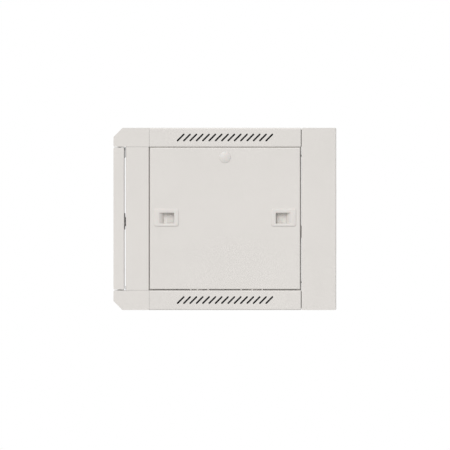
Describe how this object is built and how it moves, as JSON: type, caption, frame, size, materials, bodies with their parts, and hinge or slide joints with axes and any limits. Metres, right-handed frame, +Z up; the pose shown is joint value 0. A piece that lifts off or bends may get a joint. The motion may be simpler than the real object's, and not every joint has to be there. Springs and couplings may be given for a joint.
{
  "type": "wall mount network cabinet",
  "caption": "Six unit wall cabinet in two hinged sections, with a glazed front door, leaning side panels with slide latches, slotted vents and 19 inch rails.",
  "frame": {"origin": "centre of the four wall bolt holes, on the back face that lies against the wall", "axes": "+Z up, +Y into the wall, so the glazed door faces -Y; +X is the hinge side of the main section"},
  "size_m": [0.605, 0.45, 0.368],
  "materials": {
    "powder_coat": "light grey fine-texture powder coat",
    "zinc_plate": "bright zinc plated steel",
    "latch_plastic": "moulded light grey plastic",
    "plug_plastic": "smooth light grey plastic",
    "lock_chrome": "polished nickel chrome",
    "toughened_glass": "clear toughened glass",
    "black_rubber": "black rubber",
    "brass": "plain brass",
    "bush_nylon": "natural nylon"
  },
  "bodies": {
    "rear_section": {"rear_shell": "powder_coat", "rear_back_plate": "powder_coat", "rear_entry_plates": "powder_coat", "rear_plate_screws": "zinc_plate", "rear_earth_stud": "brass", "section_hinge_brackets": "zinc_plate", "section_hinge_pins": "zinc_plate", "section_lock_barrel": "lock_chrome", "section_lock_nut": "zinc_plate"},
    "section_lock_rotor": {"section_lock_core": "lock_chrome", "section_lock_cam": "zinc_plate", "section_lock_cam_screw": "zinc_plate"},
    "main_section": {"front_top_cap": "powder_coat", "front_bottom_cap": "powder_coat", "front_right_upright": "powder_coat", "front_left_upright": "powder_coat", "door_hinge_bushes": "bush_nylon", "door_buffers": "black_rubber", "top_cover": "powder_coat", "bottom_cover": "powder_coat", "top_cable_plate": "powder_coat", "bottom_cable_plate": "powder_coat", "cable_plate_screws": "zinc_plate", "rear_frame": "powder_coat", "upper_right_depth_rail": "zinc_plate", "upper_left_depth_rail": "zinc_plate", "lower_right_depth_rail": "zinc_plate", "lower_left_depth_rail": "zinc_plate", "front_right_mounting_rail": "zinc_plate", "front_left_mounting_rail": "zinc_plate", "rear_right_mounting_rail": "zinc_plate", "rear_left_mounting_rail": "zinc_plate", "rail_bolts": "zinc_plate", "rail_nuts": "zinc_plate", "depth_rail_screws": "zinc_plate", "section_hinge_arms": "zinc_plate", "section_hinge_screws": "zinc_plate", "section_lock_keeper": "zinc_plate"},
    "front_door": {"door_frame": "powder_coat", "door_gasket": "black_rubber", "door_glass": "toughened_glass", "door_glass_clips": "zinc_plate", "door_clip_screws": "zinc_plate", "door_hinge_pins": "zinc_plate", "door_hinge_brackets": "zinc_plate", "door_lock_barrel": "lock_chrome", "door_lock_nut": "zinc_plate"},
    "door_lock_rotor": {"door_lock_core": "lock_chrome", "door_lock_cam": "zinc_plate", "door_lock_cam_screw": "zinc_plate"},
    "right_side_panel": {"right_panel": "powder_coat", "right_latch_bezels": "latch_plastic", "right_panel_plug": "plug_plastic"},
    "left_side_panel": {"left_panel": "powder_coat", "left_latch_bezels": "latch_plastic", "left_panel_plug": "plug_plastic"},
    "right_front_latch": {"right_front_latch_slider": "latch_plastic"},
    "right_rear_latch": {"right_rear_latch_slider": "latch_plastic"},
    "left_front_latch": {"left_front_latch_slider": "latch_plastic"},
    "left_rear_latch": {"left_rear_latch_slider": "latch_plastic"}
  },
  "joints": [
    {"name": "section_swing", "type": "hinge", "parent": "rear_section", "child": "main_section", "pos_m": [0.2942, -0.0602, 0], "axis": [0, 0, 1], "range_deg": [0, 90]},
    {"name": "door_swing", "type": "hinge", "parent": "main_section", "child": "front_door", "pos_m": [-0.294, -0.438, 0.0009], "axis": [0, 0, -1], "range_deg": [0, 180]},
    {"name": "door_lock_turn", "type": "hinge", "parent": "front_door", "child": "door_lock_rotor", "pos_m": [0.24, -0.435, -0.0054], "axis": [0, 1, 0], "range_deg": [0, 90]},
    {"name": "section_lock_turn", "type": "hinge", "parent": "rear_section", "child": "section_lock_rotor", "pos_m": [-0.2875, -0.035, 0], "axis": [1, 0, 0], "range_deg": [0, 90]},
    {"name": "right_panel_lean", "type": "hinge", "parent": "main_section", "child": "right_side_panel", "pos_m": [0.299, -0.2245, -0.1424], "axis": [0, 1, 0], "range_deg": [0, 18]},
    {"name": "left_panel_lean", "type": "hinge", "parent": "main_section", "child": "left_side_panel", "pos_m": [-0.299, -0.2245, -0.1424], "axis": [0, -1, 0], "range_deg": [0, 18]},
    {"name": "right_front_latch_slide", "type": "slide", "parent": "right_side_panel", "child": "right_front_latch", "axis": [0, -1, 0], "range_m": [0, 0.006]},
    {"name": "right_rear_latch_slide", "type": "slide", "parent": "right_side_panel", "child": "right_rear_latch", "axis": [0, 1, 0], "range_m": [0, 0.006]},
    {"name": "left_front_latch_slide", "type": "slide", "parent": "left_side_panel", "child": "left_front_latch", "axis": [0, -1, 0], "range_m": [0, 0.006]},
    {"name": "left_rear_latch_slide", "type": "slide", "parent": "left_side_panel", "child": "left_rear_latch", "axis": [0, 1, 0], "range_m": [0, 0.006]}
  ]
}
